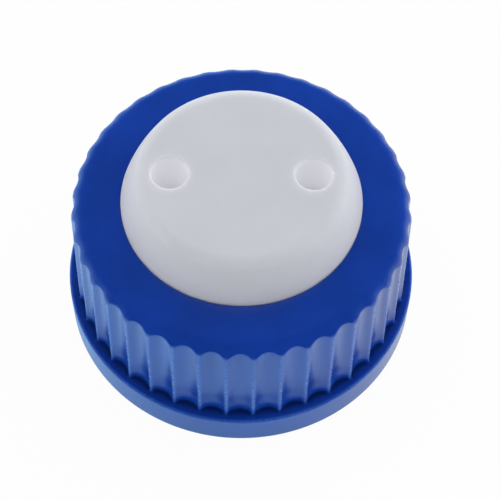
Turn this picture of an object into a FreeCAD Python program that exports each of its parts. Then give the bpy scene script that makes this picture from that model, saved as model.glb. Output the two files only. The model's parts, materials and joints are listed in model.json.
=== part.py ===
import FreeCAD, Part
import math
import os

# Open-top screw cap with a two-port insert, for a bottle with a 45 mm thread.
# Millimetres, +Z up. The origin is on the cap's axis in the plane of its lower rim.

Vector = FreeCAD.Vector
AXIS = Vector(0, 0, 1)

# The bottle that the cap fits
neck_thread_diameter = 45.0
neck_bore = 30.0
thread_pitch = 4.0

# Thread inside the cap
thread_play = 0.25
thread_height = 1.3
thread_base_width = 2.7
thread_crest_width = 1.1
thread_turns = 1.5
thread_start_height = 8.2
thread_root_sink = 0.35
thread_end_sink = 0.07
thread_fade_turns = 0.2
thread_stations_per_turn = 12

# Outside of the cap
cap_height = 25.4
skirt_height = 6.15
ledge_width = 1.3
skirt_edge_radius = 0.35
flute_count = 40
flute_depth = 0.75
flute_draft = 0.15
ridge_width = 0.35
ridge_phase = 4.5
grip_wall = 2.2
grip_draft = 1.5
top_edge_radius = 2.5

# Inside of the cap
panel_thickness = 2.1
skirt_wall = 2.5
mouth_depth = 4.2
aperture_gap = 0.15
aperture_edge_radius = 0.3

# Boss of the insert, the part that stands up through the aperture
boss_radius = 17.8
boss_rise = 0.3
dome_height = 7.05
dome_top_radius = 15.4
dome_edge_radius = 1.0

# Flange and plug of the insert
flange_gap = 0.1
flange_margin = 0.6
flange_thickness = 3.0
plug_clearance = 0.5
plug_length = 7.5
plug_lead = 0.8

# Ports through the insert
port_diameter = 5.5
port_spacing = 20.7
port_chamfer = 0.25

# Sealing ring under the flange
seal_thickness = 1.8
seal_rim_width = 5.3
seal_gap = 0.1

# Flat bands that a rounding is made of, which keep the model light
top_edge_bands = 3
dome_edge_bands = 2
small_edge_bands = 1

# Sizes that follow from those above
wall_radius = neck_thread_diameter / 2 + thread_play
grip_radius = wall_radius + grip_wall + flute_depth
skirt_radius = grip_radius + ledge_width
mouth_radius = skirt_radius - skirt_wall
grip_lean = math.tan(math.radians(grip_draft))
grip_top_radius = grip_radius - (cap_height - skirt_height) * grip_lean
aperture_radius = boss_radius + aperture_gap
panel_underside = cap_height - panel_thickness
flange_top = panel_underside - flange_gap
flange_bottom = flange_top - flange_thickness
flange_radius = wall_radius - flange_margin
plug_radius = neck_bore / 2 - plug_clearance
plug_bottom = flange_bottom - plug_length
insert_top = cap_height + dome_height
cut_margin = 1.0


def rounding(centre, radius, from_deg, to_deg, bands=small_edge_bands):
    """Points along a rounded edge in the (radius, height) plane, one more than it has bands."""
    points = []
    for number in range(bands + 1):
        turn = math.radians(from_deg + (to_deg - from_deg) * number / bands)
        points.append((centre[0] + radius * math.cos(turn), centre[1] + radius * math.sin(turn)))
    return points


def revolved(outline):
    """Solid of revolution about the cap's axis from the (radius, height) corners of its outline."""
    corners = [Vector(radius, 0, height) for radius, height in outline]
    face = Part.Face(Part.makePolygon(corners + corners[:1]))
    return face.revolve(Vector(0, 0, 0), AXIS, 360)


def grip_body():
    """The leaning wall above the skirt, with its rounded top edge, before it is fluted."""
    lean = math.radians(grip_draft)
    radius = top_edge_radius
    # The rounding touches the flat top and the leaning wall.
    centre_r = grip_top_radius - radius * (1 / math.cos(lean) - math.tan(lean))
    centre = (centre_r, cap_height - radius)
    return revolved([
        (0, skirt_height),
        (grip_radius, skirt_height),
        *rounding(centre, radius, grip_draft, 90, top_edge_bands),
        (0, cap_height),
    ])


def flute_cutters():
    """Round cutters, one for each flute.

    They lean less than the wall does, so a flute gets shallower and its lands wider towards the top.
    """
    half_pitch = math.pi / flute_count
    half_ridge = ridge_width / 2 / grip_radius
    half_chord = grip_radius * math.sin(half_pitch - half_ridge)
    chord_distance = grip_radius * math.cos(half_pitch - half_ridge)
    cutter_radius = (half_chord ** 2 + flute_depth ** 2) / (2 * flute_depth)
    distance = chord_distance - flute_depth + cutter_radius
    flute_lean = math.tan(math.radians(flute_draft))
    margin = cutter_radius
    length = cap_height - skirt_height + 2 * margin
    cutters = []
    for number in range(flute_count):
        turn = math.radians(ridge_phase - 90) + (2 * number + 1) * half_pitch
        outward = Vector(math.cos(turn), math.sin(turn), 0)
        foot = outward * (distance + margin * flute_lean)
        foot.z = skirt_height - margin
        direction = AXIS - outward * flute_lean
        cutters.append(Part.makeCylinder(cutter_radius, length, foot, direction))
    return cutters


def skirt_ring():
    """The plain ring at the foot of the cap, with a softened upper edge."""
    edge = skirt_edge_radius
    return revolved([
        (0, 0),
        (skirt_radius, 0),
        *rounding((skirt_radius - edge, skirt_height - edge), edge, 0, 90),
        (0, skirt_height),
    ])


def cavity():
    """The hollow inside: plain mouth, step, thread wall and the panel's underside."""
    return revolved([
        (0, 0),
        (mouth_radius, 0),
        (mouth_radius, mouth_depth),
        (wall_radius, mouth_depth),
        (wall_radius, panel_underside),
        (0, panel_underside),
    ])


def aperture():
    """The hole in the panel, with a rounded upper edge."""
    edge = aperture_edge_radius
    return revolved([
        (0, panel_underside - cut_margin),
        (aperture_radius, panel_underside - cut_margin),
        *rounding((aperture_radius + edge, cap_height - edge), edge, 180, 90),
        (0, cap_height),
    ])


def thread_section(turns):
    """Section of the thread ridge at a number of turns from its start, as a closed wire.

    The crest stands in from the wall by thread_height and fades into the wall at both ends.
    """
    from_end = min(turns, thread_turns - turns)
    fade = min(1.0, from_end / thread_fade_turns)
    rise = fade * fade * (3 - 2 * fade)
    root = wall_radius + thread_root_sink
    crest = wall_radius - thread_height * rise + thread_end_sink * (1 - rise)
    height = thread_start_height + thread_pitch * turns
    turn = 2 * math.pi * turns
    across = Vector(math.cos(turn), math.sin(turn), 0)

    def at(radius, offset):
        point = across * radius
        point.z = height + offset
        return point

    base, tip = thread_base_width / 2, thread_crest_width / 2
    corners = [at(root, -base), at(crest, -tip), at(crest, tip), at(root, base)]
    return Part.makePolygon(corners + corners[:1])


def thread_ridge():
    """The helical ridge, lofted through sections set round the helix."""
    count = int(math.ceil(thread_turns * thread_stations_per_turn))
    sections = [thread_section(thread_turns * number / count) for number in range(count + 1)]
    return Part.makeLoft(sections, True, False)


def screw_cap():
    grip = grip_body().cut(flute_cutters())
    body = grip.fuse(skirt_ring()).removeSplitter()
    shell = body.cut(cavity()).cut(aperture())
    return shell.fuse(thread_ridge())


def port_insert():
    """Boss, flange and plug as one turning, with the two ports drilled through."""
    edge = dome_edge_radius
    shoulder = (boss_radius, cap_height + boss_rise)
    edge_centre = (dome_top_radius - edge, insert_top - edge)
    # The leaning side starts at the shoulder and touches the rounded top edge.
    inward = shoulder[0] - edge_centre[0]
    upward = edge_centre[1] - shoulder[1]
    lean = math.atan2(inward, upward) - math.asin(edge / math.hypot(inward, upward))
    body = revolved([
        (0, insert_top),
        *rounding(edge_centre, edge, 90, math.degrees(lean), dome_edge_bands),
        shoulder,
        (boss_radius, flange_top),
        (flange_radius, flange_top),
        (flange_radius, flange_bottom),
        (plug_radius, flange_bottom),
        (plug_radius, plug_bottom + plug_lead),
        (plug_radius - plug_lead, plug_bottom),
        (0, plug_bottom),
    ])
    for side in (-1, 1):
        body = body.cut(port_cutter(side * port_spacing / 2))
    return body


def port_cutter(across):
    """A straight drill with a chamfer at its upper mouth."""
    radius = port_diameter / 2
    drill = Part.makeCylinder(radius, insert_top - plug_bottom, Vector(across, 0, plug_bottom))
    mouth = Vector(across, 0, insert_top - port_chamfer)
    return drill.fuse(Part.makeCone(radius, radius + port_chamfer, port_chamfer, mouth))


def seal_ring():
    """Flat ring on the plug, against the flange, that the bottle's rim presses on."""
    inner = plug_radius + seal_gap
    outer = plug_radius + seal_rim_width
    low = flange_bottom - seal_thickness
    return revolved([
        (inner, flange_bottom),
        (outer, flange_bottom),
        (outer, low),
        (inner, low),
    ])


os.makedirs("parts", exist_ok=True)
pieces = {
    "screw_cap": screw_cap(),
    "port_insert": port_insert(),
    "seal_ring": seal_ring(),
}
for name, shape in pieces.items():
    solid_count = len(shape.Solids)
    if solid_count != 1 or not shape.isValid():
        raise ValueError(f"{name} came out as {solid_count} solids, valid {shape.isValid()}")
    solid = shape.Solids[0]
    solid.exportStep(f"parts/{name}.step")
    print(name, "volume", round(solid.Volume, 1), "faces", len(solid.Faces))
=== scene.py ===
import json
import math

import bmesh
import bpy
import numpy as np
from bpy.props import FloatProperty, FloatVectorProperty, IntProperty, PointerProperty
from bpy.types import Operator, Panel, PropertyGroup
from mathutils import Matrix, Vector


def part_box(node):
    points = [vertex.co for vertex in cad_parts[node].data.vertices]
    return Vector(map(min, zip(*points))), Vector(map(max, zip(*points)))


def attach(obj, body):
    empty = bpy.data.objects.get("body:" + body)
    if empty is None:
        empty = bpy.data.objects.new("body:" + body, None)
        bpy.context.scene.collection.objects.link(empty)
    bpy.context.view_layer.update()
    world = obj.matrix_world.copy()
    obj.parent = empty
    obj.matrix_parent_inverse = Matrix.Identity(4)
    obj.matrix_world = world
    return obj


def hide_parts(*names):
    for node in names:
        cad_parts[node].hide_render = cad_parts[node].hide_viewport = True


bl_info = {
    "name": "Fluted screw cap with ported insert",
    "version": (1, 0, 0),
    "blender": (4, 5, 0),
    "location": "View3D > Sidebar > Screw cap",
    "description": "Finishes a laboratory bottle's open-top screw cap, its white insert and its seal",
    "category": "Add Mesh",
}

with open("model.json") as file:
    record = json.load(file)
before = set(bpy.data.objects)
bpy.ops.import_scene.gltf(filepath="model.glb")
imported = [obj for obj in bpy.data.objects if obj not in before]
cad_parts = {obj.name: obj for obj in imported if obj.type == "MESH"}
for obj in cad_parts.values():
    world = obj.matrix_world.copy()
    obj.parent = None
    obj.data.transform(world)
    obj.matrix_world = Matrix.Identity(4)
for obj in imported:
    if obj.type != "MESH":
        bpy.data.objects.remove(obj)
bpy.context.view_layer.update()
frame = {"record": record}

MM = 0.001
SHARP_ANGLE = math.radians(50)
LAMP_AIM = (0, 0, 0.015)

cap_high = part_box("screw_cap")[1]
insert_low, insert_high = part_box("port_insert")
seal_low, seal_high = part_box("seal_ring")
mounts = {mount["name"]: mount for mount in frame["record"]["mounts"]}


def length(name, description, default):
    """A size in metres that the sidebar shows as a length."""
    return FloatProperty(name=name, description=description, default=default, unit="LENGTH", precision=5)


def angle(name, description, degrees):
    """An angle that the sidebar shows in degrees."""
    return FloatProperty(name=name, description=description, default=math.radians(degrees), subtype="ANGLE")


def colour(name, description, default):
    """A surface colour, in linear light."""
    return FloatVectorProperty(name=name, description=description, default=default, subtype="COLOR", size=3)


def share(name, description, default):
    """A plain number, such as a roughness or a strength."""
    return FloatProperty(name=name, description=description, default=default)


class CapSizes(PropertyGroup):
    """Sizes of the blue fluted cap."""

    height: length("Height", "Rim to flat top", cap_high.z)
    skirt_radius: length("Skirt radius", "Outside of the plain ring at the foot", cap_high.x)
    skirt_height: length("Skirt height", "Height of the plain ring", 6.15 * MM)
    skirt_edge: length("Skirt edge", "Rounding of the ring's upper edge", 0.45 * MM)
    rim_edge: length("Rim edge", "Rounding of both edges of the lower rim", 0.4 * MM)
    ledge_width: length("Ledge width", "From the ridges out to the skirt's outside", 1.3 * MM)
    foot_fillet: length("Foot fillet", "Fillet between the flutes and the ledge", 0.1 * MM)
    flare_height: length("Flare height", "Height of the relief in the shading at the flutes' feet", 5.0 * MM)
    flare_relief: length("Flare relief", "Depth of that relief", 0.48 * MM)
    flute_count: IntProperty(name="Flutes", description="Number of flutes round the wall", default=40, min=3)
    flute_depth: length("Flute depth", "Depth at the middle of a flute", 0.75 * MM)
    flute_draft: angle("Flute draft", "Inward lean of the flutes' floors", 0.33)
    flute_spread: length("Flute spread", "Growth of the flutes' radius from the ledge to the top", 0.3 * MM)
    ridge_width: length("Ridge width", "Width of the land between two flutes at the ledge", 0.35 * MM)
    ridge_softness: length("Ridge softness", "Reach of the rounding between a flute and a land", 0.17 * MM)
    # Painted highlight: how far down a flute's flank the paler painted highlight along a ridge reaches, with
    # a little rubbed wear
    highlight_reach: length("Wear reach", "How far down a flute's flank the rubbed ridge reaches", 0.25 * MM)
    ridge_phase: angle("Ridge phase", "Turn of the first ridge from the front", 4.5)
    draft: angle("Draft", "Inward lean of the fluted wall", 1.5)
    top_rounding: length("Top rounding", "Radius between the fluted wall and the flat top", 2.5 * MM)
    top_wave: length("Top wave", "How far the rounding dips above the middle of a flute", 0.2 * MM)
    arch_rounding: length("Arch rounding", "Reach of the softened edge at a flute's upper end", 0.28 * MM)
    panel: length("Panel", "Thickness of the top panel", 2.1 * MM)
    aperture_gap: length("Aperture gap", "Play between the aperture and the insert's boss", 0.05 * MM)
    aperture_edge: length("Aperture edge", "Rounding of the aperture's upper edge", 0.1 * MM)
    corner: length("Inner corner", "Fillet between the panel and the thread wall", 0.45 * MM)
    small_edge: length("Small edge", "Rounding of the hidden inner edges", 0.2 * MM)
    thread_wall: length("Thread wall", "Inside radius at the root of the thread", 22.75 * MM)
    mouth_radius: length("Mouth radius", "Radius of the plain mouth", mounts["mouth"]["dims"]["r_mm"] * MM)
    mouth_depth: length("Mouth depth", "Depth of the plain mouth", mounts["mouth"]["dims"]["length_mm"] * MM)
    thread_pitch: length("Thread pitch", "Rise of the thread in one turn", 4.0 * MM)
    thread_height: length("Thread height", "How far the ridge stands in from the wall", 1.3 * MM)
    thread_foot: length("Thread foot", "Half the ridge's width at the wall", 1.18 * MM)
    thread_crest: length("Thread crest", "Half the ridge's width at its crest", 0.55 * MM)
    thread_start: length("Thread start", "Height at which the thread begins", 8.2 * MM)
    thread_turns: share("Thread turns", "Length of the thread in turns", 1.5)
    thread_fade: share("Thread fade", "Turns over which the ridge rises from the wall", 0.2)


class InsertSizes(PropertyGroup):
    """Sizes of the white insert."""

    top: length("Top", "Height of the flat top above the cap's rim", insert_high.z)
    bottom: length("Bottom", "Height of the plug's lower end", insert_low.z)
    boss_radius: length("Boss radius", "Radius where the boss leaves the aperture", 17.8 * MM)
    boss_rise: length("Boss rise", "Height of the upright foot of the boss above the cap", 0.3 * MM)
    dome_corner: length("Dome corner", "Radius at which the side's line meets the flat top", 15.09 * MM)
    dome_edge: length("Dome edge", "Rounding between the side and the flat top", 2.4 * MM)
    dome_swell: length("Dome swell", "How far the side swells beyond a straight taper", 0.14 * MM)
    flange_radius: length("Flange radius", "Radius of the hidden flange", insert_high.x)
    flange_gap: length("Flange gap", "Play between the flange and the panel", 0.1 * MM)
    flange_edge: length("Flange edge", "Rounding of the flange's edges", 0.2 * MM)
    plug_radius: length("Plug radius", "Radius of the plug", 14.5 * MM)
    plug_lead: length("Plug lead", "Chamfer at the plug's lower end", 0.8 * MM)
    port_radius: length("Port radius", "Radius of each port", mounts["port_left"]["dims"]["r_mm"] * MM)
    port_place: length("Port place", "Distance of a port from the axis", mounts["port_right"]["pos_m"][0])
    port_edge: length("Port edge", "Softened edge at the upper mouth of a port", 0.13 * MM)


class SealSizes(PropertyGroup):
    """Sizes of the flat sealing ring."""

    outer: length("Outer radius", "Outside of the ring", seal_high.x)
    inner: length("Inner radius", "Inside of the ring", 14.6 * MM)
    top: length("Top", "Height of its upper face, against the flange", seal_high.z)
    bottom: length("Bottom", "Height of its lower face", seal_low.z)
    edge: length("Edge", "Rounding of its edges", 0.2 * MM)


class Finishes(PropertyGroup):
    """Colours and roughness of the three materials."""

    cap_colour: colour("Cap", "Deep blue moulded plastic", (0.006, 0.056, 0.40))
    cap_roughness: share("Cap roughness", "Satin gloss of the moulding", 0.24)
    # Painted highlight: this paler blue along the ridges, round the flutes' upper ends and on the skirt's
    # upper edge stands for edge highlights, with a little rubbed wear
    highlight_and_wear_colour: colour("Worn ridges", "Paler blue where the ridges are rubbed", (0.06, 0.20, 0.60))
    speck_colour: colour("Specks", "Small pale specks on the cap", (0.35, 0.45, 0.65))
    insert_colour: colour("Insert", "White waxy plastic as the light shows it", (0.675, 0.685, 0.735))
    insert_roughness: share("Insert roughness", "Waxy sheen of the insert", 0.5)
    dirt_colour: colour("Dirt", "Small dark specks on the insert", (0.25, 0.24, 0.22))
    # Painted light: the emission colour inside the ports, standing for light that the waxy walls pass in
    painted_port_light: colour("Port glow", "Light that the waxy walls pass into the ports", (0.25, 0.245, 0.24))
    seal_colour: colour("Seal", "Grey translucent elastomer", (0.52, 0.51, 0.49))
    seal_roughness: share("Seal roughness", "Matt surface of the seal", 0.62)
    lint_colour: colour("Lint", "Pale lint on the seal", (0.75, 0.75, 0.74))


class StageSettings(PropertyGroup):
    """The camera, the floor and the light of the studio."""

    distance: length("Camera distance", "From the camera to the frame's origin", 251.8 * MM)
    elevation: angle("Elevation", "Height of the camera as an angle", 60.46)
    pan: angle("Pan", "Turn of the camera about its upright", -0.323)
    tilt: angle("Tilt", "Turn of the camera about its cross axis", 1.277)
    roll: angle("Roll", "Turn of the camera about its line of sight", -0.499)
    lens: share("Lens", "Focal length in millimetres", 112.48)
    dome_strength: share("Dome strength", "Light from the sky behind the object", 1.0)
    front_strength: share("Front strength", "Light from the sky in front of the object", 0.42)
    wall_strength: share("Wall strength", "Light from the low wall all round", 1.5)
    ceiling: share("Ceiling", "Brightness of the ceiling in reflections", 0.03)
    side_strength: share("Side strength", "Power of the right lamp in watts", 0.22)
    left_share: share("Left share", "Power of the left lamp as a share of the right one's", 0.2)
    floor_white: share("Floor white", "How white the camera sees the floor, where 1 hides its shadows", 0.96)
    floor_mirrored: share("Floor mirrored", "Brightness of the floor in reflections", 0.9)


# Outlines: points in the plane of radius and height


def arc_points(centre, radius, from_angle, to_angle, count):
    """Points on a circle: centre plus radius times the cosine and sine of evenly spaced angles."""
    turn = np.linspace(from_angle, to_angle, count)
    return np.stack([centre[0] + radius * np.cos(turn), centre[1] + radius * np.sin(turn)], axis=-1)


def straight_points(start, end, shares):
    """Points on a straight line: start plus a share of the way to end."""
    start, end = np.asarray(start), np.asarray(end)
    return start + np.asarray(shares)[:, None] * (end - start)


def swollen_points(start, end, swell, count):
    """Points on a shallow curve: a straight line plus a bulge to its right of 4 swell t (1 - t)."""
    start, end = np.asarray(start), np.asarray(end)
    t = np.linspace(0, 1, count)[:, None]
    along = (end - start) / np.linalg.norm(end - start)
    return start + t * (end - start) + 4 * swell * t * (1 - t) * np.array([along[1], -along[0]])


# Surfaces: arrays of points, rows along an outline by columns round the axis


def turned(outline, turns):
    """A surface of revolution: each outline point at radius (cos turn, sin turn) and its height."""
    radius, height = outline[:, :1], outline[:, 1:]
    heights = np.broadcast_to(height, (len(outline), len(turns)))
    return np.stack([radius * np.cos(turns), radius * np.sin(turns), heights], axis=-1)


def patch_faces(rows, columns, start, close_rows):
    """Quads of a grid, whose corner numbers are start plus row times columns plus column.

    The last column joins the first, and so does the last row where the grid closes along its rows.
    """
    row = np.arange(rows if close_rows else rows - 1)[:, None]
    column = np.arange(columns)[None, :]
    next_row, next_column = (row + 1) % rows, (column + 1) % columns
    corners = [row * columns + column, row * columns + next_column]
    corners += [next_row * columns + next_column, next_row * columns + column]
    return start + np.stack(np.broadcast_arrays(*corners), axis=-1).reshape(-1, 4)


def make_piece(name, patches, marks=None):
    """One closed mesh from patches, each a grid of points and whether it closes along its rows.

    The marks are arrays of numbers, one for each point, that the mesh carries under their names.
    """
    points, faces, start = [], [], 0
    for surface, close_rows in patches:
        rows, columns = surface.shape[:2]
        points.append(surface.reshape(-1, 3))
        faces.append(patch_faces(rows, columns, start, close_rows))
        start += rows * columns
    mesh = bpy.data.meshes.new(name)
    mesh.from_pydata(np.concatenate(points), [], np.concatenate(faces).tolist())
    for mark, values in (marks or {}).items():
        mesh.attributes.new(mark, "FLOAT", "POINT").data.foreach_set("value", values.ravel())
    weld(mesh)
    mesh.polygons.foreach_set("use_smooth", np.ones(len(mesh.polygons), bool))
    mesh.set_sharp_from_angle(angle=SHARP_ANGLE)
    mesh.update()
    piece = bpy.data.objects.new(name, mesh)
    bpy.context.scene.collection.objects.link(piece)
    return piece


def weld(mesh, reach=0.001 * MM):
    """Joins the borders of neighbouring patches, whose points are the same, and turns all faces out."""
    work = bmesh.new()
    work.from_mesh(mesh)
    bmesh.ops.remove_doubles(work, verts=work.verts, dist=reach)
    open_edges = [edge for edge in work.edges if not edge.is_manifold]
    if open_edges:
        raise RuntimeError(f"{mesh.name} has {len(open_edges)} open edges")
    bmesh.ops.recalc_face_normals(work, faces=work.faces)
    work.to_mesh(mesh)
    work.free()


# The blue cap


def flute_turns(cap, per_flute=16, crowding=0.72):
    """Angles round the cap, and each one's angle from the middle of its flute.

    A place in a flute, from -1 to 1 with 0 in the middle, is t + crowding sin(pi t) / pi for even
    steps of t, which draws the columns together at the ridges.
    """
    even = np.arange(per_flute) / per_flute * 2 - 1
    place = even + crowding * np.sin(math.pi * even) / math.pi
    half_pitch = math.pi / cap.flute_count
    middle = cap.ridge_phase - math.pi / 2 + (2 * np.arange(cap.flute_count) + 1) * half_pitch
    turns = (middle[:, None] + place[None, :] * half_pitch).ravel()
    return turns, np.tile(place * half_pitch, cap.flute_count)


def flute_cutter(cap, grip_radius):
    """Radius of the round cutter and its distance from the axis that leave the lands at the ledge.

    A cut of half width w and depth d needs the radius (w^2 + d^2) / (2 d).
    """
    half_span = math.pi / cap.flute_count - cap.ridge_width / 2 / grip_radius
    half_chord = grip_radius * math.sin(half_span)
    cutter = (half_chord ** 2 + cap.flute_depth ** 2) / (2 * cap.flute_depth)
    return cutter, grip_radius * math.cos(half_span) - cap.flute_depth + cutter


def flute_depths(cap, ridge_radius, cutter, distance, offset):
    """Depth of the flutes below the ridges' circle, at an angle from the middle of a flute.

    A round cutter of radius c at distance d cuts to d cos(a) - sqrt(c^2 - d^2 sin(a)^2). A smooth
    minimum of that and the ridges' radius rounds the corner between flute and land.
    """
    cut = distance * np.cos(offset) - np.sqrt(cutter ** 2 - (distance * np.sin(offset)) ** 2)
    nearness = np.clip(1 - np.abs(cut - ridge_radius) / cap.ridge_softness, 0, None)
    return ridge_radius - np.minimum(cut, ridge_radius) + cap.ridge_softness * nearness ** 2 / 4


def grip_rows(cap, grip_radius, offset, crease_rows=7, arc_rows=10):
    """The fluted wall from the ledge to the flat top, as radius and height by row and column.

    Each column is a straight line from its depth at the ledge to its depth at the top, up to where it
    meets the top rounding, a softened edge there, which is a quadratic curve about the meeting point,
    and the rest of the rounding's arc. The second array marks where light is painted: it is 1 along the
    ridges and round the flutes' upper ends, for a painted highlight, falls to 0 beside them, and is -1
    in the corner at the flutes' feet, for painted shade. The third result is the radius at which the
    flat top begins.
    """
    rounding, rise = cap.top_rounding, cap.height - cap.skirt_height
    top_radius = grip_radius - rise * math.tan(cap.draft)
    cutter, distance = flute_cutter(cap, grip_radius)
    foot_depth = flute_depths(cap, grip_radius, cutter, distance, offset)
    top_cutter = cutter + cap.flute_spread
    top_distance = distance - rise * math.tan(cap.flute_draft) + cap.flute_spread
    top_depth = flute_depths(cap, top_radius, top_cutter, top_distance, offset)
    foot_radius = grip_radius - foot_depth
    slope = (foot_radius - top_radius + top_depth) / rise
    lean = np.arctan(slope)
    centre_r = top_radius - rounding * (1 / math.cos(cap.draft) - math.tan(cap.draft))
    centre_z = cap.height - rounding
    reach = (foot_radius - (centre_z - cap.skirt_height) * slope - centre_r) * np.cos(lean)
    dip = cap.top_wave * top_depth / top_depth.max()

    def on_arc(turn):
        """Points on the rounding, whose radius dips by a flute's dip times the turn's cosine squared."""
        radius = rounding - dip * np.cos(turn) ** 2
        return np.stack([centre_r + radius * np.cos(turn), centre_z + radius * np.sin(turn)], axis=-1)

    dipped = rounding - dip * np.clip(reach / rounding, 0, 1) ** 2
    meeting = lean + np.arccos(np.clip(reach / dipped, -1, 1))
    corner = on_arc(meeting)
    below = corner + cap.arch_rounding * np.stack([np.sin(lean), -np.cos(lean)], axis=-1)
    after = meeting + cap.arch_rounding / rounding
    above = on_arc(after)

    fillet = cap.foot_fillet
    turn = np.linspace(1.5 * math.pi, math.pi, 5)[:, None]
    fillet_r = foot_radius + fillet * (1 + np.cos(turn)) - (fillet * (1 + np.sin(turn))) * slope
    fillet_z = np.broadcast_to(cap.skirt_height + fillet * (1 + np.sin(turn)), fillet_r.shape)
    foot = np.stack([fillet_r, fillet_z], axis=-1)
    climb = np.array([0.03, 0.2, 0.4, 0.6, 0.8, 0.97])[:, None, None]
    wall = foot[-1] + climb * (below - foot[-1])
    t = np.linspace(0, 1, crease_rows)[:, None, None]
    crease = (1 - t) ** 2 * below + 2 * t * (1 - t) * corner + t ** 2 * above
    sweep = after + np.linspace(0, 1, arc_rows)[1:, None] * (math.pi / 2 - after)
    arc = on_arc(sweep)
    ridge = np.clip(1 - foot_depth / cap.highlight_reach, 0, 1)
    arch = np.clip(top_depth / cap.arch_rounding, 0, 1)
    # The painted highlight line round a flute's upper end lies a quarter of the way over the softened edge.
    line_place, line_spread = 0.25, 0.16
    step = t[..., 0]
    line = np.exp(-((step - line_place) / line_spread) ** 2)
    on_crease = np.maximum(ridge * (1 - step), arch * line)
    # Marks: at the flutes' feet they run from painted shade, -1 in the flutes, to painted highlight, 1 on
    # the ridges
    marks = [
        np.tile(2 * ridge - 1, (len(foot), 1)), np.tile(ridge, (len(wall), 1)),
        on_crease, np.zeros(arc.shape[:2]),
    ]
    return np.concatenate([foot, wall, crease, arc]), np.concatenate(marks), centre_r


def thread_relief(cap, turns, heights):
    """How far the thread stands in from the wall at an angle and a height.

    The ridge's middle climbs by the pitch in each turn. Its section is a trapezoid whose corners are
    eased by t^2 (3 - 2 t), and its height is eased in the same way over the fade at both ends.
    """
    first = np.mod(turns, 2 * math.pi) / (2 * math.pi)
    relief = np.zeros(np.broadcast_shapes(turns.shape, heights.shape))
    for lap in range(math.ceil(cap.thread_turns) + 1):
        along = first + lap
        offset = np.abs(heights - cap.thread_start - cap.thread_pitch * along)
        flank = np.clip((cap.thread_foot - offset) / (cap.thread_foot - cap.thread_crest), 0, 1)
        from_end = np.minimum(along, cap.thread_turns - along)
        fade = np.clip(from_end / cap.thread_fade, 0, 1)
        ridge = flank ** 2 * (3 - 2 * flank) * fade ** 2 * (3 - 2 * fade)
        relief = np.maximum(relief, cap.thread_height * ridge)
    return relief


def cap_surface(cap, boss_radius, skirt_edge_rows=8, thread_rows=60):
    """The whole cap as one closed grid, and the marks of its painted edge highlights and painted corner
    shade.

    Each column is the cap's section, fluted and threaded, at radius (cos turn, sin turn) and height.
    The section runs up the skirt, in over the ledge, up the flutes, over the flat top, down through
    the aperture, out under the panel, down the thread wall and out of the mouth to the rim.
    """
    turns, offset = flute_turns(cap)
    grip_radius = cap.skirt_radius - cap.ledge_width
    quarter, half = math.pi / 2, math.pi
    outer, rim, edge = cap.skirt_radius, cap.rim_edge, cap.skirt_edge
    edge_start = cap.skirt_height - edge
    skirt = np.concatenate([
        arc_points((outer - rim, rim), rim, -quarter, 0, 6),
        straight_points((outer, rim), (outer, edge_start), [0.04, 0.5, 0.96]),
        arc_points((outer - edge, edge_start), edge, 0, quarter, skirt_edge_rows),
    ])
    grip, grip_marks, flat_radius = grip_rows(cap, grip_radius, offset)
    # The ledge's rows, as shares of the way in to the flutes, and how much painted shade each has
    ledge_place, ledge_shade = np.array([[0.06, 0.5, 0.94], [0, 0.4, 1]])[..., None]
    ledge_start = np.array([outer - edge, cap.skirt_height])
    ledge = ledge_start + ledge_place[..., None] * (grip[0] - ledge_start)
    aperture, lip, small = boss_radius + cap.aperture_gap, cap.aperture_edge, cap.small_edge
    under, wall, corner = cap.height - cap.panel, cap.thread_wall, cap.corner
    opening = np.concatenate([
        straight_points((flat_radius, cap.height), (aperture + lip, cap.height), [0.02, 0.3, 0.65, 0.98]),
        arc_points((aperture + lip, cap.height - lip), lip, quarter, half, 7),
        arc_points((aperture + small, under + small), small, half, 1.5 * math.pi, 4),
        straight_points((aperture + small, under), (wall - corner, under), [0.05, 0.95]),
        arc_points((wall - corner, under - corner), corner, quarter, 0, 6),
    ])
    heights = np.linspace(under - corner, cap.mouth_depth + small, thread_rows)[1:-1]
    threaded = np.stack([
        wall - thread_relief(cap, turns[None, :], heights[:, None]),
        np.broadcast_to(heights[:, None], (len(heights), len(turns))),
    ], axis=-1)
    mouth, step = cap.mouth_radius, cap.mouth_depth
    foot = np.concatenate([
        arc_points((wall + small, step + small), small, half, 1.5 * half, 4),
        straight_points((wall + small, step), (mouth - small, step), [0.1, 0.9]),
        arc_points((mouth - small, step - small), small, quarter, 0, 4),
        straight_points((mouth, step - small), (mouth, rim), [0.05, 0.95]),
        arc_points((mouth + rim, rim), rim, half, 1.5 * half, 6),
        straight_points((mouth + rim, 0), (outer - rim, 0), [0.05, 0.95]),
    ])

    def all_round(outline):
        """The same outline in every column."""
        return np.broadcast_to(outline[:, None, :], (len(outline), len(turns), 2))

    section = np.concatenate([all_round(skirt), ledge, grip, all_round(opening), threaded, all_round(foot)])
    radius, height = section[..., 0], section[..., 1]
    marks = np.zeros(radius.shape)
    # Painted highlight along the skirt's upper edge
    over_edge = (np.arange(skirt_edge_rows) + 0.5) / skirt_edge_rows
    marks[len(skirt) - skirt_edge_rows:len(skirt)] = 0.8 * np.sin(math.pi * over_edge)[:, None]
    grip_start = len(skirt) + len(ledge)
    marks[len(skirt):grip_start] = ledge_shade * (grip_marks[0] - 1) / 2
    marks[grip_start:grip_start + len(grip)] = grip_marks
    return np.stack([radius * np.cos(turns), radius * np.sin(turns), height], axis=-1), marks


# The white insert


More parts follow.
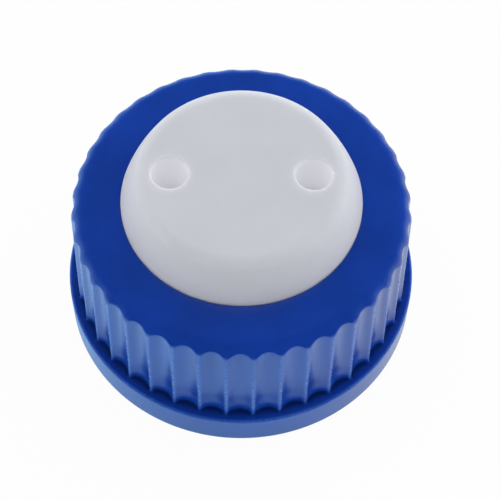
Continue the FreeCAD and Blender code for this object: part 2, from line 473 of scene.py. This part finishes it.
def disc_border(radius, place, columns, cross_points=60):
    """Loop round half of a disc: the arc from the lower end to the upper one, then straight back.

    The points on the straight side are spaced evenly as seen from the port at its place on the X axis.
    """
    turn = (np.arange(columns // 2 + 1) / columns * 2 - 0.5) * math.pi
    arc = radius * np.stack([np.cos(turn), np.sin(turn)], axis=-1)
    reach = math.atan2(radius, place)
    seen = np.linspace(reach, -reach, cross_points + 1)[1:-1]
    across = np.stack([np.zeros(len(seen)), place * np.tan(seen)], axis=-1)
    return np.concatenate([arc, across])


def port_angles(border, place):
    """Angle of each border point as seen from the port's centre."""
    return np.arctan2(border[:, 1], border[:, 0] - place)


def drilled_face(radius, height, place, hole, columns, shares=(0, 0.04, 0.15, 0.4, 0.7, 0.96, 1)):
    """Half of a flat round face with a port in it: the port's edge plus shares of the way to the border."""
    border = disc_border(radius, place, columns)
    bearing = port_angles(border, place)
    inner = np.stack([place + hole * np.cos(bearing), hole * np.sin(bearing)], axis=-1)
    flat = inner + np.asarray(shares)[:, None, None] * (border - inner)
    return np.concatenate([flat, np.full(flat.shape[:2] + (1,), height)], axis=-1)


def port_wall(insert, top_radius, foot_radius, columns):
    """The wall of a port, from its softened edge at the top to the lower end.

    Each row is a circle, whose angles are the top face's plus the share of the way down times how far
    the lower face's differ from them.
    """
    place, radius, edge = insert.port_place, insert.port_radius, insert.port_edge
    upper = port_angles(disc_border(top_radius, place, columns), place)
    lower = port_angles(disc_border(foot_radius, place, columns), place)
    slip = np.mod(lower - upper + math.pi, 2 * math.pi) - math.pi
    mouth = arc_points((radius + edge, insert.top - edge), edge, math.pi / 2, math.pi, 7)
    shaft_shares = [0.02, 0.25, 0.5, 0.75, 0.98, 1]
    shaft = straight_points((radius, insert.top - edge), (radius, insert.bottom), shaft_shares)
    outline = np.concatenate([mouth, shaft])
    gone = ((insert.top - outline[:, 1]) / (insert.top - insert.bottom))[:, None]
    bearing = upper + gone * slip
    across = place + outline[:, :1] * np.cos(bearing)
    along = outline[:, :1] * np.sin(bearing)
    return np.stack([across, along, np.broadcast_to(outline[:, 1:], bearing.shape)], axis=-1)


def insert_outline(insert, cap_height, panel):
    """Outside of the insert from its flat top to its lower end: boss, flange and plug.

    The side leans from the shoulder to the dome corner. A circle of radius e that touches the side
    and the flat top has its centre e (1 - sin lean) / cos lean inside the corner.
    """
    quarter = math.pi / 2
    edge, small = insert.dome_edge, insert.flange_edge
    shoulder = np.array([insert.boss_radius, cap_height + insert.boss_rise])
    inward, upward = shoulder[0] - insert.dome_corner, insert.top - shoulder[1]
    lean = math.atan2(inward, upward)
    centre_r = insert.dome_corner - edge * (1 - math.sin(lean)) / math.cos(lean)
    centre = np.array([centre_r, insert.top - edge])
    side_top = centre + edge * np.array([math.cos(lean), math.sin(lean)])
    flange_top = cap_height - panel - insert.flange_gap
    flange, plug = insert.flange_radius, insert.plug_radius
    # The flange lies on the seal
    under, foot, lead = seal_high.z, insert.bottom, insert.plug_lead
    return np.concatenate([
        arc_points(centre, edge, quarter, lean, 12),
        swollen_points(side_top, shoulder, -insert.dome_swell, 14)[1:],
        straight_points(shoulder, (insert.boss_radius, flange_top), [0.08, 0.9, 1]),
        straight_points((insert.boss_radius, flange_top), (flange - small, flange_top), [0.05, 0.95]),
        arc_points((flange - small, flange_top - small), small, quarter, 0, 5),
        arc_points((flange - small, under + small), small, 0, -quarter, 5),
        straight_points((flange - small, under), (plug, under), [0.05, 0.95, 1]),
        straight_points((plug, under), (plug, foot + lead), [0.05, 0.5, 0.95, 1]),
        straight_points((plug, foot + lead), (plug - lead, foot), [0.1, 0.9, 1]),
    ])


def insert_patches(insert, cap_height, panel, columns=320):
    """The insert's outside, and its two drilled end faces and port walls on each side."""
    turns = np.arange(columns) / columns * 2 * math.pi
    outline = insert_outline(insert, cap_height, panel)
    top_radius, foot_radius = outline[0, 0], outline[-1, 0]
    place, hole = insert.port_place, insert.port_radius
    faces = [
        drilled_face(top_radius, insert.top, place, hole + insert.port_edge, columns),
        port_wall(insert, top_radius, foot_radius, columns),
        drilled_face(foot_radius, insert.bottom, place, hole, columns),
    ]
    patches = [(turned(outline, turns), False)]
    for face in faces:
        patches += [(face, False), (face * np.array([-1, 1, 1]), False)]
    return patches


# The sealing ring


def seal_surface(seal, columns=192):
    """The ring as one closed grid: a rectangle with rounded corners turned about the axis."""
    quarter, edge = math.pi / 2, seal.edge
    corners = [
        ((seal.outer - edge, seal.top - edge), quarter),
        ((seal.outer - edge, seal.bottom + edge), 0.0),
        ((seal.inner + edge, seal.bottom + edge), -quarter),
        ((seal.inner + edge, seal.top - edge), -2 * quarter),
    ]
    arcs = [arc_points(centre, edge, start, start - quarter, 6) for centre, start in corners]
    return turned(np.concatenate(arcs), np.arange(columns) / columns * 2 * math.pi)


# Materials


class Wire:
    """A value that runs between shader nodes. Arithmetic on it adds Math nodes."""

    def __init__(self, board, socket):
        self.board = board
        self.socket = socket

    def math(self, operation, *others):
        """A Math node on this value and any others."""
        return self.board.add("ShaderNodeMath", "Value", {"operation": operation}, [self, *others])

    def __add__(self, other):
        return self.math("ADD", other)

    __radd__ = __add__

    def __sub__(self, other):
        return self.math("SUBTRACT", other)

    def __rsub__(self, other):
        return self.board.add("ShaderNodeMath", "Value", {"operation": "SUBTRACT"}, [other, self])

    def __mul__(self, other):
        return self.math("MULTIPLY", other)

    __rmul__ = __mul__

    def __truediv__(self, other):
        return self.math("DIVIDE", other)

    def __pow__(self, other):
        return self.math("POWER", other)

    def __abs__(self):
        return self.math("ABSOLUTE")

    def ramp(self, low, high, start=0.0, end=1.0):
        """start below low and end above high, eased between them."""
        inputs = {"Value": self, "From Min": low, "From Max": high, "To Min": start, "To Max": end}
        return self.board.add("ShaderNodeMapRange", "Result", {"interpolation_type": "SMOOTHSTEP"}, inputs)


class Board:
    """A node tree, and the calls that place and wire its nodes."""

    def __init__(self, tree):
        self.tree = tree
        self.tree.nodes.clear()

    def add(self, kind, output, settings, inputs):
        """A node of a kind, with its settings made first and its sockets set or linked after."""
        node = self.tree.nodes.new(kind)
        for key, value in settings.items():
            setattr(node, key, value)
        pairs = enumerate(inputs) if isinstance(inputs, list) else inputs.items()
        for key, value in pairs:
            self.feed(node.inputs[key], value)
        return Wire(self, node.outputs[output])

    def feed(self, socket, value):
        """Links a wire to a socket, or sets the socket to a plain value."""
        if isinstance(value, Wire):
            self.tree.links.new(value.socket, socket)
        else:
            socket.default_value = value

    def also(self, wire, output):
        """Another output of the node that a wire comes from."""
        return Wire(self, wire.socket.node.outputs[output])

    def split(self, vector):
        """The x, y and z of a vector."""
        x = self.add("ShaderNodeSeparateXYZ", "X", {}, {"Vector": vector})
        return x, self.also(x, "Y"), self.also(x, "Z")

    def blend(self, factor, first, second):
        """Number first where the factor is 0 and second where it is 1."""
        return self.add("ShaderNodeMix", "Result", {}, {"Factor": factor, "A": first, "B": second})

    def mix(self, factor, first, second):
        """Colour first where the factor is 0 and second where it is 1."""
        ends = [(*value, 1.0) if isinstance(value, tuple) else value for value in (first, second)]
        inputs = {"Factor": factor, "A": ends[0], "B": ends[1]}
        return self.add("ShaderNodeMix", "Result", {"data_type": "RGBA"}, inputs)


class Finish(Board):
    """A material with one Principled shader."""

    def __init__(self, name, **constants):
        self.material = bpy.data.materials.new(name)
        self.material.use_nodes = True
        super().__init__(self.material.node_tree)
        self.surface = self.add("ShaderNodeBsdfPrincipled", "BSDF", {}, {})
        self.shader = self.surface.socket.node
        self.output = self.tree.nodes.new("ShaderNodeOutputMaterial")
        self.feed(self.output.inputs["Surface"], self.surface)
        self.place = self.add("ShaderNodeTexCoord", "Object", {}, {})
        self.set(**constants)

    def set(self, **sockets):
        """Feeds the shader's sockets, named with underscores for spaces."""
        for name, value in sockets.items():
            self.feed(self.shader.inputs[name.replace("_", " ")], value)

    def noise(self, size, detail, place=None):
        """Cloudy noise from 0 to 1 whose blobs are about size metres across."""
        inputs = {"Vector": place or self.place, "Scale": 1 / size, "Detail": detail}
        return self.add("ShaderNodeTexNoise", "Fac", {}, inputs)

    def stretched(self, scale, turn):
        """The object's coordinates turned and scaled, for marks that run one way."""
        inputs = {"Vector": self.place, "Rotation": turn, "Scale": scale}
        return self.add("ShaderNodeMapping", "Vector", {}, inputs)

    def own(self, name):
        """A number that the mesh carries at each of its points."""
        return self.add("ShaderNodeAttribute", "Fac", {"attribute_name": name}, {})

    def specks(self, spacing, size, shown):
        """1 inside small round specks, of which a share is shown, one to a cell of the given spacing."""
        inputs = {"Vector": self.place, "Scale": 1 / spacing}
        cell = self.add("ShaderNodeTexVoronoi", "Distance", {"feature": "F1"}, inputs)
        pick = self.add("ShaderNodeSeparateColor", "Red", {}, [self.also(cell, "Color")])
        dot = 1 - cell.ramp(size / spacing * 0.5, size / spacing)
        return dot * pick.ramp(1 - shown, 1.01 - shown)

    def bump(self, height, depth):
        """Relief whose height of 1 stands depth metres proud."""
        return self.add("ShaderNodeBump", "Normal", {}, {"Height": height, "Distance": depth})


def scaled(tint, factor):
    """A colour with each channel times a factor."""
    return tuple(channel * factor for channel in tint)


def cap_plastic(finishes, cap):
    """Satin blue moulded plastic: faint flow clouds, painted highlights with a little wear along the ridges
    and edges, fine scratches and a few specks.

    The corner at the flutes' feet has painted shade, and a relief in the shading flares the flutes above it.
    """
    base = tuple(finishes.cap_colour)
    finish = Finish(
        "cap_plastic", IOR=1.49,
        Subsurface_Weight=1.0, Subsurface_Scale=1.0 * MM, Subsurface_Radius=(0.3, 0.6, 1.0),
    )
    clouds = finish.noise(9 * MM, detail=2)
    grain = finish.noise(0.5 * MM, detail=2)
    scratches = finish.noise(0.35 * MM, detail=2, place=finish.stretched((1, 0.06, 1), (0, 0, 0.6)))
    rubbed = finish.noise(7 * MM, detail=1)
    edges = finish.own("edge")
    highlight_and_wear = edges.ramp(0, 1) * rubbed.ramp(0.3, 0.7, 0.75, 1.0)
    painted_corner_shade = (0 - edges).ramp(0, 1)
    tint = finish.mix(clouds.ramp(0.3, 0.7), scaled(base, 0.93), scaled(base, 1.07))
    # Painted highlight: paler blue along the marked ridges, arch rims and skirt edge, varied a little like
    # rubbed wear
    tint = finish.mix(highlight_and_wear * 0.45, tint, tuple(finishes.highlight_and_wear_colour))
    # Painted shade: the corner at the flutes' feet is darkened
    tint = finish.mix(painted_corner_shade * 0.6, tint, scaled(base, 0.15))
    specks = finish.specks(4.5 * MM, 0.12 * MM, 0.35)
    tint = finish.mix(specks * 0.6, tint, tuple(finishes.speck_colour))
    hairs = scratches.ramp(0.62, 0.7)
    x, y, z = finish.split(finish.place)
    from_axis = (x ** 2 + y ** 2) ** 0.5
    outside = from_axis.ramp(cap.thread_wall + 0.5 * MM, cap.thread_wall + MM)
    near_foot = 1 - z.ramp(cap.skirt_height, cap.skirt_height + cap.flare_height)
    # Depths in millimetres, because the bump's distance is one
    grain_depth, scratch_depth, flare_depth = 0.0015, 0.0005, cap.flare_relief / MM
    relief = grain_depth * grain + scratch_depth * scratches + flare_depth * outside * near_foot ** 2
    finish.set(
        Base_Color=tint,
        Roughness=finishes.cap_roughness + 0.04 * (grain - 0.5) + 0.04 * highlight_and_wear + 0.01 * hairs,
        Normal=finish.bump(relief, MM),
    )
    return finish.material


def insert_plastic(finishes, insert):
    """White waxy turned plastic: faint turning marks, cloudy tone, a few smudges and specks of dirt.

    The ports have painted light, a faint emission for the light that the walls let through, a little more on
    their right.
    """
    base = tuple(finishes.insert_colour)
    finish = Finish(
        "insert_plastic", IOR=1.36, Emission_Strength=1.0,
        Subsurface_Weight=1.0, Subsurface_Scale=1.0 * MM, Subsurface_Radius=(1.2, 1.2, 1.3),
    )
    x, y, z = finish.split(finish.place)
    radius = (x ** 2 + y ** 2) ** 0.5
    clouds = finish.noise(8 * MM, detail=3)
    smudge = finish.noise(3.5 * MM, detail=5)
    grain = finish.noise(0.3 * MM, detail=2)
    turning = ((radius / (0.11 * MM)).math("SINE") + 1) * 0.5
    tint = finish.mix(clouds.ramp(0.3, 0.7), scaled(base, 0.985), scaled(base, 1.015))
    tint = finish.mix(smudge.ramp(0.66, 0.8) * 0.12, tint, scaled(base, 0.8))
    specks = finish.specks(6 * MM, 0.09 * MM, 0.2)
    tint = finish.mix(specks * 0.35, tint, tuple(finishes.dirt_colour))
    # Painted light inside the ports: an emission near their upper ends, a little stronger on their right
    from_port = ((abs(x) - insert.port_place) ** 2 + y ** 2) ** 0.5
    in_port = 1 - from_port.ramp(insert.port_radius, insert.port_radius + insert.port_edge)
    below_top = insert.top - z
    near_top = below_top.ramp(0, 0.6 * MM) * (1 - below_top.ramp(6 * MM, 16 * MM))
    rightward = (x - x.math("SIGN") * insert.port_place) / insert.port_radius
    glow = in_port * near_top * (0.9 + 0.1 * rightward)
    finish.set(
        Base_Color=tint,
        Roughness=finishes.insert_roughness + 0.1 * (smudge - 0.5),
        Emission_Color=finish.mix(glow, (0.0, 0.0, 0.0), tuple(finishes.painted_port_light)),
        Normal=finish.bump(0.5 * turning + grain, 0.004 * MM),
    )
    return finish.material


def seal_rubber(finishes):
    """Matt grey elastomer: a fine even grain, faint clouds and a little lint."""
    base = tuple(finishes.seal_colour)
    finish = Finish("seal_rubber", Subsurface_Weight=0.3, Subsurface_Scale=1.0 * MM, IOR=1.41)
    clouds = finish.noise(4 * MM, detail=3)
    grain = finish.noise(0.2 * MM, detail=2)
    lint = finish.specks(2.2 * MM, 0.1 * MM, 0.3)
    tint = finish.mix(clouds.ramp(0.3, 0.7), scaled(base, 0.92), scaled(base, 1.08))
    tint = finish.mix(lint * 0.5, tint, tuple(finishes.lint_colour))
    finish.set(
        Base_Color=tint,
        Roughness=finishes.seal_roughness + 0.12 * (grain - 0.5),
        Normal=finish.bump(grain, 0.008 * MM),
    )
    return finish.material


# Operators


def place_piece(piece, material, body, node):
    """Gives a piece its material, puts it under its body and hides the CAD part of the node it stands for.
    """
    piece.data.materials.append(material)
    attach(piece, body)
    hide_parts(node)


class SCREWCAP_OT_cap(Operator):
    """Make the fluted cap with its thread, in satin blue plastic"""

    bl_idname = "screwcap.cap"
    bl_label = "Cap"

    def execute(self, context):
        scene = context.scene
        surface, marks = cap_surface(scene.cap_sizes, scene.insert_sizes.boss_radius)
        piece = make_piece("cap_shell", [(surface, True)], marks={"edge": marks})
        material = cap_plastic(scene.cap_finishes, scene.cap_sizes)
        place_piece(piece, material, "cap", "screw_cap")
        return {"FINISHED"}


class SCREWCAP_OT_insert(Operator):
    """Make the white insert with its two ports"""

    bl_idname = "screwcap.insert"
    bl_label = "Insert"

    def execute(self, context):
        scene = context.scene
        cap, insert = scene.cap_sizes, scene.insert_sizes
        piece = make_piece("insert_boss", insert_patches(insert, cap.height, cap.panel))
        material = insert_plastic(scene.cap_finishes, insert)
        place_piece(piece, material, "insert", "port_insert")
        return {"FINISHED"}


class SCREWCAP_OT_seal(Operator):
    """Make the flat sealing ring under the flange"""

    bl_idname = "screwcap.seal"
    bl_label = "Seal"

    def execute(self, context):
        scene = context.scene
        piece = make_piece("seal_band", [(seal_surface(scene.seal_sizes), True)])
        material = seal_rubber(scene.cap_finishes)
        place_piece(piece, material, "insert", "seal_ring")
        return {"FINISHED"}


# Stage


def studio_camera(stage):
    """The camera, placed by its distance and elevation and turned by its pan, tilt and roll."""
    sight = Vector((0, math.cos(stage.elevation), -math.sin(stage.elevation)))
    right = Vector((1, 0, 0))
    up = right.cross(sight)
    pan = Matrix.Rotation(stage.pan, 3, up)
    sight, right = pan @ sight, pan @ right
    tilt = Matrix.Rotation(stage.tilt, 3, right)
    sight, up = tilt @ sight, tilt @ up
    roll = Matrix.Rotation(stage.roll, 3, sight)
    right, up = roll @ right, roll @ up
    data = bpy.data.cameras.new("studio_camera")
    data.lens = stage.lens
    data.sensor_width = 36.0
    data.clip_start = 10 * MM
    camera = bpy.data.objects.new("studio_camera", data)
    turned_axes = Matrix((right, up, -sight)).transposed().to_4x4()
    away = Vector((0, -math.cos(stage.elevation), math.sin(stage.elevation)))
    camera.matrix_world = Matrix.Translation(away * stage.distance) @ turned_axes
    bpy.context.scene.collection.objects.link(camera)
    bpy.context.scene.camera = camera


def area_lamp(name, position, size, power, tint):
    """A soft rectangular lamp that faces the object and doesn't show in reflections."""
    data = bpy.data.lights.new(name, "AREA")
    data.shape = "RECTANGLE"
    data.size, data.size_y = size
    data.energy = power
    data.color = tint
    lamp = bpy.data.objects.new(name, data)
    position = Vector(position)
    facing = (Vector(LAMP_AIM) - position).to_track_quat("-Z", "Y")
    lamp.matrix_world = Matrix.Translation(position) @ facing.to_matrix().to_4x4()
    lamp.visible_glossy = False
    bpy.context.scene.collection.objects.link(lamp)


def studio_floor(stage, half_width=1.5):
    """A pale floor that shows white to the camera and keeps the object's soft shadow.

    In reflections it is bluest in front of the cap and greyer at the right, a little darker close to
    the rim, and nearly black further in front.
    """
    corners = [(-half_width, -half_width, 0), (half_width, -half_width, 0)]
    corners += [(half_width, half_width, 0), (-half_width, half_width, 0)]
    mesh = bpy.data.meshes.new("studio_floor")
    mesh.from_pydata(corners, [], [(0, 1, 2, 3)])
    floor = bpy.data.objects.new("studio_floor", mesh)
    bpy.context.scene.collection.objects.link(floor)
    finish = Finish("floor_paper", Roughness=0.9, Specular_IOR_Level=0.0)
    grain = finish.noise(1.5 * MM, detail=2)
    finish.set(Base_Color=finish.mix(grain, (0.93, 0.93, 0.93), (0.95, 0.95, 0.95)))
    seen = finish.add("ShaderNodeLightPath", "Is Camera Ray", {}, {})
    reflected = finish.also(seen, "Is Glossy Ray")
    x, y, _ = finish.split(finish.place)
    before_cap = finish.mix(x.ramp(-20 * MM, 30 * MM), (0.74, 1.25, 1.75), (0.86, 1.2, 1.55))
    right_of_cap = finish.mix(x.ramp(0, 20 * MM), (0.7, 1.1, 1.55), (1.1, 1.2, 1.15))
    beside_cap = finish.mix(y.ramp(-36 * MM, -8 * MM), before_cap, right_of_cap)
    shaded = ((x ** 2 + y ** 2) ** 0.5).ramp(27 * MM, 34 * MM, 0.85, 1.0)
    ahead = y.ramp(-48 * MM, -37 * MM, 0.02, 1.0)
    in_reflections = finish.mix(stage.floor_mirrored * shaded * ahead, (0.0, 0.0, 0.0), beside_cap)
    tint = finish.mix(reflected, (1.0, 1.0, 1.0), in_reflections)
    glow = finish.add("ShaderNodeEmission", "Emission", {}, {"Color": tint, "Strength": 1.0})
    glow_share = seen * stage.floor_white + reflected
    shown = finish.add("ShaderNodeMixShader", "Shader", {}, [glow_share, finish.surface, glow])
    finish.feed(finish.output.inputs["Surface"], shown)
    mesh.materials.append(finish.material)


def studio_world(stage):
    """White to the camera. For light, a bright low wall all round under a dome that is dimmer in front.

    Reflections see a pale blue wall at the sides and behind, and a dim ceiling all over the rest.
    """
    world = bpy.data.worlds.new("studio_world")
    world.use_nodes = True
    bpy.context.scene.world = world
    sky = Board(world.node_tree)
    _, y, z = sky.split(sky.add("ShaderNodeTexCoord", "Generated", {}, {}))
    dome = y.ramp(-0.9, 0.5, stage.front_strength, stage.dome_strength)
    light = dome + z.ramp(0.05, 0.22, stage.wall_strength, 0.0)
    seen = sky.add("ShaderNodeLightPath", "Is Camera Ray", {}, {})
    reflected = sky.also(seen, "Is Glossy Ray")
    beside = y.ramp(-0.5, -0.1)
    mirrored = sky.blend(beside, stage.ceiling, z.ramp(0.12, 0.45, 0.8, stage.ceiling))
    strength = sky.blend(seen, sky.blend(reflected, light, mirrored), 1.0)
    tint = sky.mix(reflected, (1.0, 1.0, 1.0), (0.45, 0.85, 1.25))
    background = sky.add("ShaderNodeBackground", "Background", {}, {"Color": tint, "Strength": strength})
    output = sky.tree.nodes.new("ShaderNodeOutputWorld")
    sky.feed(output.inputs["Surface"], background)


class SCREWCAP_OT_stage(Operator):
    """Set up the camera, the pale floor and the soft studio light"""

    bl_idname = "screwcap.stage"
    bl_label = "Stage"

    def execute(self, context):
        stage = context.scene.stage_settings
        studio_camera(stage)
        studio_floor(stage)
        studio_world(stage)
        right_power, left_power = stage.side_strength, stage.side_strength * stage.left_share
        area_lamp("right_softbox", (0.34, 0.14, 0.24), (0.16, 0.30), right_power, (0.95, 0.98, 1.0))
        area_lamp("left_softbox", (-0.36, 0.02, 0.24), (0.14, 0.30), left_power, (1.0, 0.99, 0.97))
        context.scene.view_settings.view_transform = "Standard"
        return {"FINISHED"}


class SCREWCAP_PT_panel(Panel):
    """Lists the operators in the 3D view's sidebar"""

    bl_idname = "SCREWCAP_PT_panel"
    bl_label = "Screw cap"
    bl_space_type = "VIEW_3D"
    bl_region_type = "UI"
    bl_category = "Screw cap"

    def draw(self, context):
        for operator in OPERATORS:
            self.layout.operator(operator.bl_idname)


SETTINGS = {
    "cap_sizes": CapSizes,
    "insert_sizes": InsertSizes,
    "seal_sizes": SealSizes,
    "cap_finishes": Finishes,
    "stage_settings": StageSettings,
}
OPERATORS = (SCREWCAP_OT_cap, SCREWCAP_OT_insert, SCREWCAP_OT_seal, SCREWCAP_OT_stage)
CLASSES = (*SETTINGS.values(), *OPERATORS, SCREWCAP_PT_panel)


def register():
    """Registers the classes, and keeps the settings on the scene."""
    for registered in CLASSES:
        bpy.utils.register_class(registered)
    for name, group in SETTINGS.items():
        setattr(bpy.types.Scene, name, PointerProperty(type=group))


def unregister():
    """Takes the settings off the scene, and the classes away."""
    for name in SETTINGS:
        delattr(bpy.types.Scene, name)
    for registered in reversed(CLASSES):
        bpy.utils.unregister_class(registered)


def main():
    """Registers the classes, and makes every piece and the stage."""
    register()
    bpy.ops.screwcap.cap()
    bpy.ops.screwcap.insert()
    bpy.ops.screwcap.seal()
    bpy.ops.screwcap.stage()


if __name__ == "__main__":
    main()
